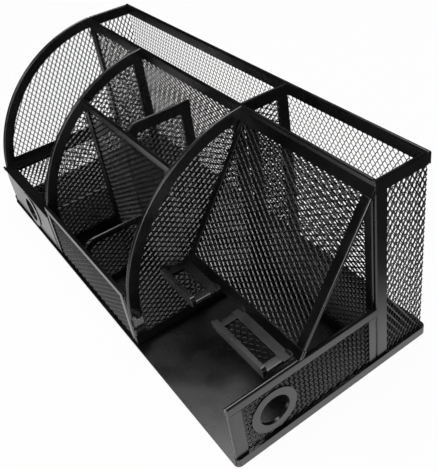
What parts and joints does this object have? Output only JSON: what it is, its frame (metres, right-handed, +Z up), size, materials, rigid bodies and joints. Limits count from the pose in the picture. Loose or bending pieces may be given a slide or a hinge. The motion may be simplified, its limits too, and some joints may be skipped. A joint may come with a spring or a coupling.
{
  "type": "desk organizer with drawer",
  "caption": "Black mesh desk organizer: pen bays at the back, a small drawer at the left and a sloping phone rest with lips at the right.",
  "frame": {"origin": "bottom centre of the bounding box, on the surface the stand rests on", "axes": "+X from left to right seen from the front, +Y from front to back, +Z up"},
  "size_m": [0.252, 0.108, 0.1],
  "materials": {
    "black_steel": "satin powder coat",
    "black_mesh": "satin powder coat on expanded metal"
  },
  "bodies": {
    "stand": {"base_sheet": "black_steel", "left_end_frame": "black_steel", "left_end_mesh": "black_mesh", "back_frame": "black_steel", "back_mesh": "black_mesh", "mid_wall_frame": "black_steel", "mid_wall_mesh": "black_mesh", "right_rear_frame": "black_steel", "right_rear_mesh": "black_mesh", "rear_divider_frame": "black_steel", "rear_divider_mesh": "black_mesh", "left_arc_frame": "black_steel", "left_arc_mesh": "black_mesh", "right_arc_frame": "black_steel", "right_arc_mesh": "black_mesh", "cross_panel_frame": "black_steel", "cross_panel_mesh": "black_mesh", "small_divider_frame": "black_steel", "small_divider_mesh": "black_mesh", "front_panel_frame": "black_steel", "front_panel_mesh": "black_mesh", "low_divider_frame": "black_steel", "low_divider_mesh": "black_mesh", "low_end_frame": "black_steel", "low_end_mesh": "black_mesh", "low_end_ring": "black_steel", "phone_rest_frame": "black_steel", "phone_rest_mesh": "black_mesh", "left_lip_frame": "black_steel", "left_lip_mesh": "black_mesh", "right_lip_frame": "black_steel", "right_lip_mesh": "black_mesh", "shelf_frame": "black_steel", "shelf_mesh": "black_mesh", "weld_beads": "black_steel"},
    "drawer": {"drawer_front": "black_steel", "drawer_ring": "black_steel", "drawer_tray": "black_steel"}
  },
  "joints": [
    {"name": "drawer_slide", "type": "slide", "parent": "stand", "child": "drawer", "axis": [0, -1, 0], "range_m": [0, 0.06]}
  ]
}
